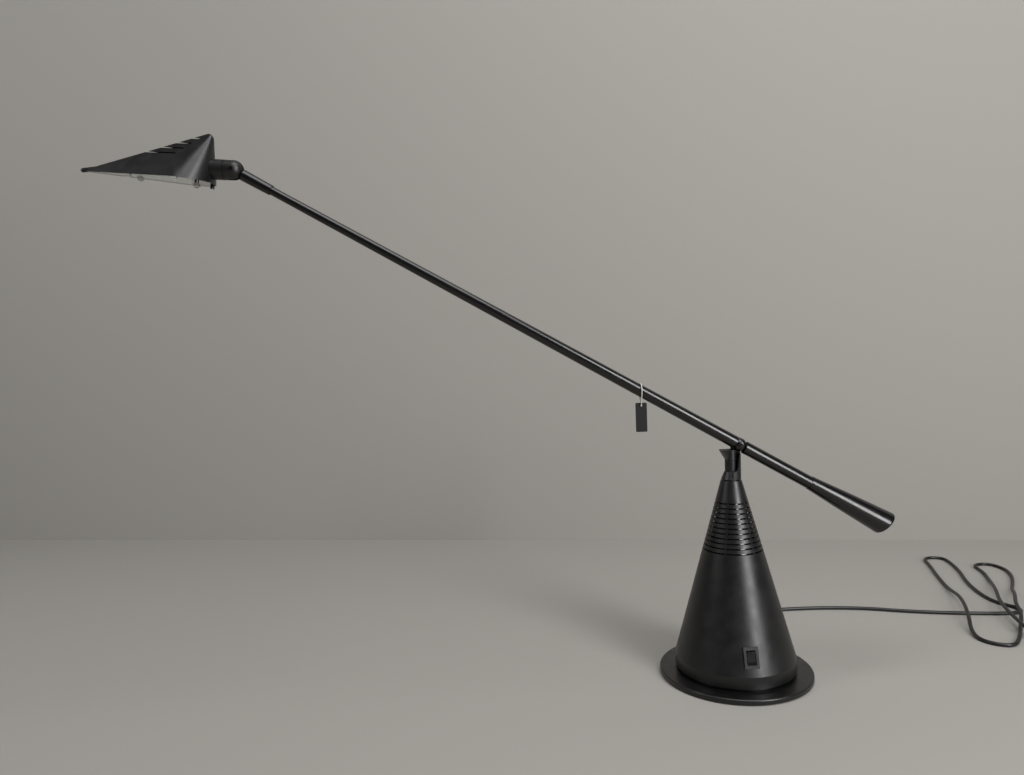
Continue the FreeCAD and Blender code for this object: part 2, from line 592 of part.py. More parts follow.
post_bore = rod("post_radius + press_play", "spine_top_z", z=neck_bottom)
node("neck_sleeve", cut(cut(join(sleeve, cheek_box, cheek_disc), post_bore), cheek_bore))

stop_bottom = "(post_top_z + stop_seam)"
wedge = slab([("-stop_reach", "stop_top_z"), ("-stop_reach", "stop_top_z - stop_lip_edge"),
              ("-post_radius + stop_root_inset", "stop_lip_root_z"), ("0", "stop_lip_root_z"), ("0", "stop_top_z")],
             "2 * stop_lip_half")
cradle = group(rod("tube_root_radius + moving_gap", "6 * ball_radius"))
cradle.Placement = turned_place(size("pivot_x"), size("pivot_z"), (0, 1, 0), size("arm_rise") - size("arm_drop") - 90)
node("stop_block", cut(cut(join(rod("post_radius", "stop_top_z - " + stop_bottom, z=stop_bottom), wedge), cradle),
                       ball("ball_radius + moving_gap + seat_gap", x="pivot_x", z="pivot_z")))

# ---------------------------------------------------------------- arm, built along Z from the pivot
arm_place = turned_place(size("pivot_x"), size("pivot_z"), (0, 1, 0), size("arm_rise") - 90)
spigots = join(rod("tube_root_radius - tube_wall - spigot_play", "ball_radius + spigot_length"),
               rod("rod_radius - rod_wall - press_play", "ball_radius + spigot_length",
                   z="-ball_radius - spigot_length"))
ball_block = block("4 * ball_radius", "ball_flat + ball_front_flat", "4 * ball_radius",
                   y="(ball_flat - ball_front_flat) / 2", z="-2 * ball_radius")
pivot_bore = rod("pivot_screw_radius", "4 * ball_radius", y="-2 * ball_radius", along="y")
node("pivot_ball", cut(join(overlap(ball("ball_radius"), ball_block), spigots), pivot_bore), arm_place)
washer_y = cheek_y + " + cheek_thickness + moving_gap"
pivot_washers = [cut(rod("pivot_washer_radius", "pivot_washer", y=y, along="y"),
                     rod("pivot_screw_radius", "pivot_washer", y=y, along="y")) for y in ("ball_flat", washer_y)]
node("pivot_washers", group(*pivot_washers), arm_place)
nut_y = washer_y + " + pivot_washer"
node("pivot_nut", cut(hexagon("pivot_nut_radius", "pivot_nut", y=nut_y, along="y"),
                      rod("pivot_screw_radius", "pivot_nut", y=nut_y, along="y")), arm_place)
screw_tail = "(%s + pivot_nut + ball_front_flat + thread_past_nut)" % nut_y
head_plain = rod("pivot_head_radius", "pivot_head_height", y="-ball_front_flat - pivot_head_height", along="y")
head_face = -size("ball_front_flat") - size("pivot_head_height")
head_dome = rounded(head_plain, "pivot_head_round", lambda edge: edge.BoundBox.YMax < head_face + 1e-6)
node("pivot_screw", join(head_dome, rod("pivot_screw_radius", screw_tail, y="-ball_front_flat", along="y")),
     arm_place)

tube_end = "(knuckle_reach - tube_end_setback)"
tube_shell = taper("tube_root_radius", "tube_tip_radius", tube_end)
tube_bore = taper("tube_root_radius - tube_wall", "tube_tip_radius - tube_wall", tube_end)
node("front_tube", cut(cut(tube_shell, tube_bore), rod("tube_root_radius", "hub_reach")), arm_place)
weight_screw_z = "-weight_start + weight_screw_inset"
node("rear_tube", cut(rod("rod_radius", "weight_start - hub_reach", z="-weight_start"),
                      group(rod("rod_radius - rod_wall", "weight_start", z="-weight_start"),
                            rod("weight_screw_radius", "2 * rod_radius", z=weight_screw_z, along="y"))), arm_place)
lead_start = "(ball_radius + spigot_length + lead_end_gap)"
node("arm_lead", rod("lead_radius", "%s - %s - 2 * lead_end_gap" % (tube_end, lead_start),
                     x="-(tube_tip_radius - tube_wall - lead_radius - lead_side_gap)", z=lead_start), arm_place)

ferrule_start = "(knuckle_reach - ferrule_setback)"
ferrule_end = "(knuckle_reach - knuckle_radius - ferrule_gap)"
ferrule = taper("ferrule_small_radius", "ferrule_large_radius", "%s - %s" % (ferrule_end, ferrule_start),
                z=ferrule_start)
socket = taper("tube_root_radius + press_play", "tube_tip_radius + press_play", tube_end)
tongue = join(block("2 * tongue_half_width", "tongue_thickness", "knuckle_radius + ferrule_gap",
                    z=ferrule_end),
              rod("tongue_half_width", "tongue_thickness", y="-tongue_thickness / 2", z="knuckle_reach",
                  along="y"))
pin_hole = rod("knuckle_pin_radius + press_play", "2 * tongue_thickness", y="-tongue_thickness",
               z="knuckle_reach", along="y")
node("arm_ferrule", cut(join(cut(ferrule, socket), tongue), pin_hole), arm_place)

# ---------------------------------------------------------------- counterweight
weight_slope = "(weight_end_radius - weight_mid_radius) / (weight_end_reach - weight_mid_reach)"
weight = turned([
    ("0", "-weight_start"), ("weight_neck_radius", "-weight_start"),
    ("weight_mid_radius", "-weight_mid_reach"),
    ("weight_end_radius + weight_overrun * " + weight_slope, "-weight_end_reach - weight_overrun"),
    ("0", "-weight_end_reach - weight_overrun")])
slant = block("8 * weight_end_radius", "8 * weight_end_radius", "4 * weight_end_radius", z="-4 * weight_end_radius")
slant_cut = group(slant)
slant_cut.Placement = turned_place(0, -size("weight_end_reach"), (0, 1, 0), size("weight_end_slant"))
weight_cone = rounded(cut(weight, slant_cut), "weight_edge_round",
                      lambda edge: edge.BoundBox.ZMax < -size("weight_end_reach") + size("weight_end_radius")
                      and edge.BoundBox.YLength > size("weight_end_radius"))
weight_spigot = rod("rod_radius - rod_wall - press_play", "weight_socket", z="-weight_start")
weight_tapped = rod("weight_screw_radius", "2 * rod_radius", z=weight_screw_z, along="y")
node("counterweight", cut(join(weight_cone, weight_spigot), weight_tapped), arm_place)
node("weight_screw", rod("weight_screw_radius", "rod_radius - weight_screw_sink", z=weight_screw_z, along="y"),
     arm_place)

# ---------------------------------------------------------------- knuckle, X axis toward the lamp head's nose
rise = math.radians(size("arm_rise"))
knuckle_x = size("pivot_x") - size("knuckle_reach") * math.cos(rise)
knuckle_z = size("pivot_z") + size("knuckle_reach") * math.sin(rise)
knuckle_place = turned_place(knuckle_x, knuckle_z, (0, 0, 1), 180).multiply(
    turned_place(0, 0, (0, 1, 0), -size("head_pitch")))
slot_length = "(2 * knuckle_radius + knuckle_slot_back)"
slot = block(slot_length, "knuckle_slot", "2 * knuckle_radius + knuckle_slot_top",
             x="knuckle_slot_back - %s / 2" % slot_length, z="-2 * knuckle_radius")
node("knuckle_housing", cut(cut(join(
    ball("knuckle_radius"), rod("knuckle_radius", "knuckle_seam_reach", along="x"),
    rod("knuckle_spigot_radius", "knuckle_spigot_length", x="knuckle_seam_reach", along="x")), slot),
    group(rod("knuckle_pin_radius", "4 * knuckle_radius", y="-2 * knuckle_radius", along="y"),
          rod("roll_screw_radius", "knuckle_spigot_length + 2 * roll_screw_bite",
              x="knuckle_seam_reach - 2 * roll_screw_bite", along="x"))),
    knuckle_place)
node("knuckle_pin", rod("knuckle_pin_radius", "2 * knuckle_radius - 2 * knuckle_pin_sink",
                        y="-knuckle_radius + knuckle_pin_sink", along="y"), knuckle_place)
web_start = "(knuckle_seam_reach + knuckle_spigot_length + roll_gap)"
roll_head_start = "(%s + stub_web + roll_gap)" % web_start
roll_shank = rod("roll_screw_radius", "%s - knuckle_seam_reach + roll_screw_bite" % roll_head_start,
                 x="knuckle_seam_reach - roll_screw_bite", along="x")
node("roll_screw", join(roll_shank, rod("roll_screw_head_radius", "roll_screw_head", x=roll_head_start, along="x")),
     knuckle_place)

# ---------------------------------------------------------------- lamp head
head_place = knuckle_place.multiply(turned_place(0, 0, (1, 0, 0), -size("head_roll")))
shade_place = head_place.multiply(FreeCAD.Placement(
    FreeCAD.Vector(size("shade_back_reach"), 0, -size("shade_back_drop")),
    FreeCAD.Rotation(FreeCAD.Vector(0, 1, 0), -size("shade_pitch"))))
stub_start = "(knuckle_seam_reach + roll_gap)"
stub = cut(rod("stub_radius", "stub_end_reach - " + stub_start, x=stub_start, along="x"), join(
    rod("knuckle_spigot_radius + shaft_play", "knuckle_spigot_length", x=stub_start, along="x"),
    rod("roll_screw_radius + spigot_play", "stub_end_reach", x=stub_start, along="x"),
    rod("roll_screw_head_radius + roll_gap", "stub_end_reach", x="%s + stub_web" % web_start, along="x")))

crown_walls = 1.5                            # an inner cone's point stays this many insets below the outer one


def teardrop(inset, z, kept=1):
    """The shade's outline at a height: a round back, two straight sides and a small round tip.
    Where less than all of it is kept, its back moves toward its tip."""
    apex = size("apex_setback")
    full = 1 - z / (size("apex_height") - crown_walls * inset)
    shrink = full * kept
    back_radius = size("shade_half_width")
    tip_radius = size("shade_inner_tip") if inset else size("shade_tip_radius")
    reach = size("shade_length") - back_radius - size("shade_tip_radius")
    reach *= (back_radius - inset - tip_radius) / (back_radius - size("shade_tip_radius"))
    ahead = (back_radius + reach + tip_radius - apex) * (full - shrink)
    centre = apex + (back_radius - apex) * shrink + ahead
    tip_centre = apex + (back_radius + reach - apex) * shrink + ahead
    large = (back_radius - inset) * shrink
    small = tip_radius * shrink
    across = (large - small) / (tip_centre - centre)
    along = math.sqrt(1 - across * across)

    def at(x, radius, side):
        return FreeCAD.Vector(x + radius * across, side * radius * along, z)

    back = Part.Arc(at(centre, large, -1), FreeCAD.Vector(centre - large, 0, z), at(centre, large, 1))
    tip = Part.Arc(at(tip_centre, small, 1), FreeCAD.Vector(tip_centre + small, 0, z), at(tip_centre, small, -1))
    return Part.Wire([back.toShape(),
                      Part.LineSegment(at(centre, large, 1), at(tip_centre, small, 1)).toShape(),
                      tip.toShape(),
                      Part.LineSegment(at(tip_centre, small, -1), at(centre, large, -1)).toShape()])


def leaning_cone(inset, bottom, top):
    """A cone over the teardrop whose point stands near its round back."""
    return Part.makeLoft([teardrop(inset, bottom), teardrop(inset, top)], True, True)


def shade_shell():
    """The cone with its point rounded over toward the back and a small round nose at its tip."""
    wall = size("shade_wall")
    top = size("shade_top")
    crown = size("apex_round")
    outlines = [teardrop(0, 0)]
    for angle in (0, 25, 45, 60, 72):
        turn = math.radians(angle)
        z = top - crown + crown * math.sin(turn)
        length = size("shade_length") * (1 - z / size("apex_height"))
        outlines.append(teardrop(0, z, 1 - crown * (1 - math.cos(turn)) / length))
    outer = Part.makeLoft(outlines, True, True)
    inner = leaning_cone(wall, 0, top - crown - wall)
    nose = Part.makeSphere(size("nose_radius"), FreeCAD.Vector(size("shade_length") - size("nose_radius"), 0,
                                                               size("nose_rise")))
    return outer.fuse(nose).cut(inner)


def louvres():
    """Slots that cross the ridge, each a little shorter than the one below."""
    slots = []
    for i in range(int(size("louvre_count"))):
        back = size("louvre_back_first") - i * size("louvre_back_step")
        slots.append(Part.makeBox(size("shade_length"), 4 * size("shade_half_width"), size("louvre_height"),
                                  FreeCAD.Vector(back, -2 * size("shade_half_width"),
                                                 size("louvre_first_z") + i * size("louvre_pitch"))))
    return shaped(Part.makeCompound(slots))


stub_hole = group(rod("stub_radius + seat_gap", "stub_end_reach", along="x"))
stub_hole.Placement = shade_place.inverse().multiply(head_place)
node("lamp_shade", cut(shaped(shade_shell()), group(louvres(), stub_hole)), shade_place)

gap = size("shade_wall") + size("reflector_gap")
sheet_inset = gap + size("reflector_sheet")
mirror_shell = leaning_cone(gap, size("pane_thickness"), size("reflector_top")).cut(
    leaning_cone(sheet_inset, size("pane_thickness"), size("reflector_top") - size("reflector_sheet")))
holder_room = block("2 * reflector_cut", "2 * shade_half_width", "reflector_cut_top")
node("reflector", cut(shaped(mirror_shell), holder_room), shade_place)
pane = leaning_cone(size("shade_wall") + size("pane_inset"), 0, size("pane_thickness"))
node("glass_pane", shaped(pane), shade_place)


def clip(spot, direction):
    """A clear tab under the rim and the pane, with a knob under its middle."""
    length = size("clip_length")
    depth = size("clip_depth")
    drop = size("clip_drop")
    knob_length = size("clip_knob_length")
    knob_depth = size("clip_knob_depth")
    tab = Part.makeBox(length, depth + size("clip_overlap"), drop / 2, FreeCAD.Vector(-length / 2, -depth, -drop / 2))
    knob = Part.makeBox(knob_length, knob_depth, drop,
                        FreeCAD.Vector(-knob_length / 2, -(depth + knob_depth) / 2, -drop))
    made = tab.fuse(knob)
    made.Placement = FreeCAD.Placement(spot, FreeCAD.Rotation(FreeCAD.Vector(0, 0, 1), direction))
    return made


def clips():
    """One clip on each straight side, and one near the start of the back's round."""
    back_radius = size("shade_half_width")
    tip_radius = size("shade_tip_radius")
    across = (back_radius - tip_radius) / (size("shade_length") - back_radius - tip_radius)
    lean = math.degrees(math.asin(across))
    centre = FreeCAD.Vector(back_radius, 0, 0)
    made = []
    for direction, reach in ((-lean, size("clip_side_reach")), (size("clip_back_turn"), 0)):
        turn = FreeCAD.Rotation(FreeCAD.Vector(0, 0, 1), direction)
        near = clip(centre + turn.multVec(FreeCAD.Vector(reach, back_radius - size("shade_wall"), 0)), direction)
        made += [near, near.mirror(FreeCAD.Vector(), FreeCAD.Vector(0, 1, 0))]
    return Part.makeCompound(made)


def latches():
    """Round dark catches under the rounded back, half under the rim and half under the pane."""
    inner = size("shade_half_width") - size("shade_wall") - size("pane_inset") / 2
    made = []
    for side in (1, -1):
        angle = math.radians(side * size("latch_angle"))
        spot = FreeCAD.Vector(size("shade_half_width") - inner * math.cos(angle), inner * math.sin(angle),
                              -size("latch_height"))
        made.append(Part.makeCylinder(size("latch_radius"), size("latch_height"), spot))
    return Part.makeCompound(made)


node("pane_clips", shaped(clips()), shade_place)
node("pane_latches", shaped(latches()), shade_place)

# bulb, holder and its screws, along the stub's axis
holder_start = "stub_end_reach"
holder_screw_y = "(holder_width / 2 - holder_screw_inset)"


def holder_rods(radius, height, x):
    return [rod(radius, height, x=x, y=side + holder_screw_y, along="x") for side in ("", "-")]


screw_start = holder_start + " - holder_screw_bite"
holder_shanks = holder_rods("holder_screw_radius", "holder_length + holder_screw_bite", screw_start)
holder_heads = holder_rods("holder_head_radius", "holder_head", holder_start + " + holder_length")
holder_holes = holder_rods("holder_screw_radius", "holder_length + holder_screw_bite", screw_start)
pin_start = "(%s + holder_length - capsule_socket)" % holder_start


def capsule_rods(height):
    return [rod("capsule_pin_radius", height, x=pin_start, y=side + "capsule_pin_spacing / 2", along="x")
            for side in ("", "-")]


node("lamp_holder", cut(block("holder_length", "holder_width", "holder_height",
                              x=holder_start + " + holder_length / 2", z="-holder_height / 2"),
                        group(*holder_holes, *capsule_rods("capsule_socket"))), head_place)
node("holder_screws", group(*[join(*pair) for pair in zip(holder_shanks, holder_heads)]), head_place)
node("head_stub", cut(stub, group(*holder_holes)), head_place)
glass_start = "(%s + holder_length + capsule_gap)" % holder_start
glass_dome = ball("capsule_radius", x=glass_start + " + capsule_length - capsule_radius")
node("halogen_capsule", join(rod("capsule_radius", "capsule_length - capsule_radius", x=glass_start, along="x"),
                             glass_dome), head_place)
node("capsule_pins", group(*capsule_rods("capsule_pin_length")), head_place)

# ---------------------------------------------------------------- swing tag
tag_share = size("tag_reach") / (size("knuckle_reach") - size("tube_end_setback"))
tube_radius_there = size("tube_root_radius") * (1 - tag_share) + size("tube_tip_radius") * tag_share
tag_place = FreeCAD.Placement(FreeCAD.Vector(size("pivot_x") - size("tag_reach") * math.cos(rise), 0,
                                             size("pivot_z") + size("tag_reach") * math.sin(rise)), FreeCAD.Rotation())
loop_radius = tube_radius_there / math.cos(rise) + size("string_radius") + size("string_slack")
hole_z = -loop_radius - size("string_drop")
strand_y = size("tag_thickness") / 2 + size("knot_radius") + size("moving_gap")


def string_loop():
    """A loop over the tube whose two strands end in knots, joined through the hole in the card."""
    leave = math.acos(loop_radius / math.hypot(strand_y, hole_z)) - math.atan2(-hole_z, strand_y)
    touch = FreeCAD.Vector(0, loop_radius * math.cos(leave), loop_radius * math.sin(leave))
    knot = FreeCAD.Vector(0, strand_y, hole_z)

    def other(point):
        return FreeCAD.Vector(0, -point.y, point.z)

    line = Part.Wire([Part.LineSegment(knot, touch).toShape(),
                      Part.Arc(touch, FreeCAD.Vector(0, 0, loop_radius), other(touch)).toShape(),
                      Part.LineSegment(other(touch), other(knot)).toShape()])
    through = Part.makeCylinder(size("string_radius"), 2 * strand_y, other(knot), FreeCAD.Vector(0, 1, 0))
    knots = [Part.makeSphere(size("knot_radius"), spot) for spot in (knot, other(knot))]
    return tube(line, size("string_radius")).fuse([through] + knots)


node("tag_string", shaped(string_loop()), tag_place)
card_top = hole_z + size("tag_hole_inset")
card = Part.makeBox(size("tag_width"), size("tag_thickness"), size("tag_height"),
                    FreeCAD.Vector(-size("tag_width") / 2, -size("tag_thickness") / 2, card_top - size("tag_height")))
card = card.makeFillet(size("tag_corner"), [edge for edge in card.Edges
                                            if abs(edge.BoundBox.YLength - size("tag_thickness")) < 1e-6])
punch = Part.makeCylinder(size("string_radius") + size("shaft_play"), size("tag_width"),
                          FreeCAD.Vector(0, -size("tag_width") / 2, hole_z), FreeCAD.Vector(0, 1, 0))
node("tag_card", shaped(card.cut(punch)), tag_place)

# ---------------------------------------------------------------- checks and files
doc.recompute()
faults = []
for item in doc.Objects:
    if "Invalid" in item.State or "Error" in item.State:
        faults.append("%s (%s) %s" % (item.Label, item.Name, item.State))
for name, item in parts.items():
    if item.Shape.isNull() or not item.Shape.isValid() or item.Shape.Volume <= 0:
        faults.append("%s has a bad shape" % name)
if faults:
    raise RuntimeError("; ".join(faults))
os.makedirs("parts", exist_ok=True)
for name, item in parts.items():
    box = item.Shape.BoundBox
    print("%-20s %2d solids %10.0f mm3  x %.1f..%.1f y %.1f..%.1f z %.1f..%.1f" % (
        name, len(item.Shape.Solids), item.Shape.Volume, box.XMin, box.XMax, box.YMin, box.YMax, box.ZMin, box.ZMax))
    item.Shape.exportStep("parts/%s.step" % name)
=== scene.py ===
import math

import bmesh
import bpy
from mathutils import Matrix, Vector


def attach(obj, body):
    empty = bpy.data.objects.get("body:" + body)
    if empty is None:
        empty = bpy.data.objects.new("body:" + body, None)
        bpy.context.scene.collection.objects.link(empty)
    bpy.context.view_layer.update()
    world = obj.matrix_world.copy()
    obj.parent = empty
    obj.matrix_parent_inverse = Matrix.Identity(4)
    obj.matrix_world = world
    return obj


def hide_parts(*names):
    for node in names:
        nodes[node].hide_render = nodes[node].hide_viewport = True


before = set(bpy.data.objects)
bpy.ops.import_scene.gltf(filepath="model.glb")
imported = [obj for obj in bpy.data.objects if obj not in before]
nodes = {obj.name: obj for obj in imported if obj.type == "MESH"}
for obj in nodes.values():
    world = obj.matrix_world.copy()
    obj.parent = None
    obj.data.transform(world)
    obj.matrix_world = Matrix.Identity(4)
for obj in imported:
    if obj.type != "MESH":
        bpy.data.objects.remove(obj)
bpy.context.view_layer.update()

mm = 0.001

# the camera stands where the photograph was taken from, found from the foot's and the arm's perspective
cameraSettings = {
    "place": (-0.2304, -0.8126, 0.3604),
    "pitchDown": 3.04,  # degrees
    "rollClockwise": 2.1,
    "lens": 26.96,  # mm
    "sensorWidth": 36,
    "nearest": 0.01,
}


def placeCamera():
    data = bpy.data.cameras.new("photoCamera")
    data.lens = cameraSettings["lens"]
    data.sensor_width = cameraSettings["sensorWidth"]
    data.clip_start = cameraSettings["nearest"]
    camera = bpy.data.objects.new("photoCamera", data)
    bpy.context.scene.collection.objects.link(camera)
    look = Matrix.Rotation(math.radians(90 - cameraSettings["pitchDown"]), 4, "X")
    roll = Matrix.Rotation(-math.radians(cameraSettings["rollClockwise"]), 4, "Z")
    camera.matrix_world = Matrix.Translation(cameraSettings["place"]) @ look @ roll
    bpy.context.scene.camera = camera


placeCamera()
print("camera placed")


# colours are written as sRGB hex and turned to linear here
def linear(hexColour):
    parts = [int(hexColour[i:i + 2], 16) / 255 for i in (1, 3, 5)]
    return [p / 12.92 if p <= 0.04045 else ((p + 0.055) / 1.055) ** 2.4 for p in parts] + [1.0]


# adds one node with its settings and links; an input that is a socket is linked, any other is set
def addNode(tree, kind, settings=None, inputs=None):
    node = tree.nodes.new(kind)
    for name, value in (settings or {}).items():
        setattr(node, name, value)
    for name, value in (inputs or {}).items():
        if isinstance(value, bpy.types.NodeSocket):
            tree.links.new(value, node.inputs[name])
        else:
            node.inputs[name].default_value = value
    return node


def newMaterial(name, **surface):
    material = bpy.data.materials.new(name)
    material.use_nodes = True
    tree = material.node_tree
    shader = tree.nodes["Principled BSDF"]
    for socket, value in surface.items():
        shader.inputs[socket.replace("_", " ")].default_value = value
    return material, tree, shader


# a grain of the given size, in metres, laid over the piece's own coordinates
def grain(tree, size, stretch=(1, 1, 1)):
    spot = addNode(tree, "ShaderNodeTexCoord").outputs["Object"]
    scaled = addNode(tree, "ShaderNodeMapping", inputs={"Vector": spot, "Scale": stretch}).outputs["Vector"]
    return addNode(tree, "ShaderNodeTexNoise", inputs={"Vector": scaled, "Scale": 1 / size}).outputs["Fac"]


def bump(tree, shader, height, depth):
    relief = addNode(tree, "ShaderNodeBump", inputs={"Height": height, "Distance": depth})
    tree.links.new(relief.outputs["Normal"], shader.inputs["Normal"])


grainSpan = (0.3, 0.7)  # nearly all of a noise pattern's values lie between these


# a value that wanders between low and high with the grain, for worn gloss
def wander(tree, source, low, high):
    return addNode(tree, "ShaderNodeMapRange", inputs={
        "Value": source, "From Min": grainSpan[0], "From Max": grainSpan[1],
        "To Min": low, "To Max": high}).outputs["Result"]


absSettings = {
    "colour": "#0c0c0d", "ior": 1.54, "roughness": 0.37, "roughnessSpread": 0.05, "patch": 14 * mm,
    "grain": 0.9 * mm, "grainDepth": 0.03 * mm,
}


def mouldedAbs():
    # injection-moulded black ABS from a spark-eroded mould: a fine even grain and a broad soft highlight
    settings = absSettings
    material, tree, shader = newMaterial("mouldedBlackAbs", Base_Color=linear(settings["colour"]),
                                         IOR=settings["ior"])
    middle, spread = settings["roughness"], settings["roughnessSpread"]
    gloss = wander(tree, grain(tree, settings["patch"]), middle - spread, middle + spread)
    tree.links.new(gloss, shader.inputs["Roughness"])
    bump(tree, shader, grain(tree, settings["grain"]), settings["grainDepth"])
    return material


lacquerSettings = {
    "colour": "#080809", "ior": 1.5, "tubeRoughness": 0.2, "plateRoughness": 0.36,
    "glossier": 0.04, "duller": 0.06, "patch": 9 * mm, "coat": 0.15, "coatRoughness": 0.12,
    "orangePeel": 3.5 * mm, "orangePeelDepth": 0.02 * mm,
}


def blackLacquer(name, roughness):
    # sprayed black lacquer on metal: glossy, with a faint orange peel
    settings = lacquerSettings
    material, tree, shader = newMaterial(name, Base_Color=linear(settings["colour"]), IOR=settings["ior"],
                                         Coat_Weight=settings["coat"],
                                         Coat_Roughness=settings["coatRoughness"])
    gloss = wander(tree, grain(tree, settings["patch"]), roughness - settings["glossier"],
                   roughness + settings["duller"])
    tree.links.new(gloss, shader.inputs["Roughness"])
    bump(tree, shader, grain(tree, settings["orangePeel"]), settings["orangePeelDepth"])
    return material


def plain(name, colour, roughness, **surface):
    # a smooth material whose surface shows no pattern at this scale
    return newMaterial(name, Base_Color=linear(colour), Roughness=roughness, **surface)[0]


cordSettings = {
    "diameter": 4.4 * mm, "colour": "#0e0e0f", "roughness": 0.4, "ior": 1.53, "wave": 6 * mm,
    "waveDepth": 0.05 * mm, "roundSteps": 6, "lengthSteps": 12,
}


def extrudedPvc():
    # extruded black PVC sheath: half gloss, with slight waves along it
    settings = cordSettings
    material, tree, shader = newMaterial("extrudedBlackPvc", Base_Color=linear(settings["colour"]),
                                         Roughness=settings["roughness"], IOR=settings["ior"])
    bump(tree, shader, grain(tree, settings["wave"]), settings["waveDepth"])
    return material


rubberSettings = {"colour": "#101010", "roughness": 0.7, "ior": 1.52, "grain": 1.4 * mm,
                  "grainDepth": 0.03 * mm}


def mouldedRubber():
    # moulded black rubber: matt, slightly uneven
    settings = rubberSettings
    material, tree, shader = newMaterial("mouldedRubber", Base_Color=linear(settings["colour"]),
                                         Roughness=settings["roughness"], IOR=settings["ior"])
    bump(tree, shader, grain(tree, settings["grain"]), settings["grainDepth"])
    return material


zincSettings = {"colour": "#b9bbbd", "glossy": 0.26, "dull": 0.42, "spangle": 2.5 * mm}


def zincPlatedSteel():
    # zinc-plated steel: grey, with a faint spangle in the gloss
    settings = zincSettings
    material, tree, shader = newMaterial("zincPlatedSteel", Base_Color=linear(settings["colour"]),
                                         Metallic=1.0)
    gloss = wander(tree, grain(tree, settings["spangle"]), settings["glossy"], settings["dull"])
    tree.links.new(gloss, shader.inputs["Roughness"])
    return material


waveTurn = 2 * math.pi / 20  # a wave texture's scale times its line spacing, for one line in each spacing

laminationSettings = {
    "sheet": 1.0 * mm,  # real sheets are 0.5 mm; drawn twice as thick so that they show
    "dark": "#26262a", "light": "#5a5a60", "metallic": 0.7, "roughness": 0.45,
}


def varnishedLaminations():
    # stacked electrical steel under varnish: fine dark lines between the sheets, along Y
    settings = laminationSettings
    material, tree, shader = newMaterial("varnishedLaminations", Metallic=settings["metallic"],
                                         Roughness=settings["roughness"])
    spot = addNode(tree, "ShaderNodeTexCoord").outputs["Object"]
    lines = addNode(tree, "ShaderNodeTexWave", {"wave_type": "BANDS", "bands_direction": "Y"}, {
        "Vector": spot, "Scale": waveTurn / settings["sheet"]}).outputs["Fac"]
    mix = addNode(tree, "ShaderNodeMix", {"data_type": "RGBA"}, {"Factor": lines})
    darkInput, lightInput = mix.inputs[6:8]  # the colour mix's own pair of inputs
    darkInput.default_value = linear(settings["dark"])
    lightInput.default_value = linear(settings["light"])
    tree.links.new(mix.outputs[2], shader.inputs["Base Color"])
    return material


wireSettings = {"wire": 0.9 * mm, "relief": 0.3, "colour": "#a4562e", "roughness": 0.3}


def enamelledWire():
    # enamelled copper wire, wound level: round turns side by side up the block
    settings = wireSettings
    material, tree, shader = newMaterial("enamelledCopperWire", Base_Color=linear(settings["colour"]),
                                         Metallic=1.0, Roughness=settings["roughness"])
    spot = addNode(tree, "ShaderNodeTexCoord").outputs["Object"]
    turns = addNode(tree, "ShaderNodeTexWave", {"wave_type": "BANDS", "bands_direction": "Z"}, {
        "Vector": spot, "Scale": waveTurn / settings["wire"]}).outputs["Fac"]
    bump(tree, shader, turns, settings["relief"] * settings["wire"])
    return material


aluminiumSettings = {"colour": "#e6e7ea", "glossy": 0.14, "dull": 0.26, "rolling": 1.5 * mm,
                     "rollingStretch": (0.1, 1, 1)}


def rolledAluminium():
    # bright rolled aluminium sheet: mirror-like, with faint rolling lines
    settings = aluminiumSettings
    material, tree, shader = newMaterial("brightRolledAluminium", Base_Color=linear(settings["colour"]),
                                         Metallic=1.0)
    lines = grain(tree, settings["rolling"], stretch=settings["rollingStretch"])
    tree.links.new(wander(tree, lines, settings["glossy"], settings["dull"]), shader.inputs["Roughness"])
    return material


def floatGlass():
    # clear float glass: smooth, with sharp reflections and a faint green tint
    return plain("floatGlass", "#f4faf7", 0.02, IOR=1.52, Transmission_Weight=1.0)


def highlightPaintedPolycarbonate():
    # injection-moulded clear polycarbonate, glossy; made paler and less clear than it is, a painted
    # highlight so that the clips look bright
    return plain("highlightPaintedPolycarbonate", "#ecece6", 0.1, IOR=1.585, Transmission_Weight=0.55)


cottonSettings = {"colour": "#c9c8c4", "roughness": 0.85, "fibre": 0.5 * mm, "fibreDepth": 0.1 * mm}


def spunCotton():
    # white cotton thread: matt, with uneven fibres
    settings = cottonSettings
    material, tree, shader = newMaterial("spunCotton", Base_Color=linear(settings["colour"]),
                                         Roughness=settings["roughness"])
    bump(tree, shader, grain(tree, settings["fibre"]), settings["fibreDepth"])
    return material


cardSettings = {"colour": "#0c0c0d", "roughness": 0.38, "ior": 1.5, "grain": 1.2 * mm,
                "grainDepth": 0.01 * mm}


def coatedCard():
    # coated black card: smooth, half gloss
    settings = cardSettings
    material, tree, shader = newMaterial("coatedBlackCard", Base_Color=linear(settings["colour"]),
                                         Roughness=settings["roughness"], IOR=settings["ior"])
    bump(tree, shader, grain(tree, settings["grain"]), settings["grainDepth"])
    return material


finishes = {}  # each node's material, by the node's name
paintedShadeRise = 0.02  # the reflector's faces whose normals rise more than this are its back, lacquered black, partly as painted shade behind the louvres
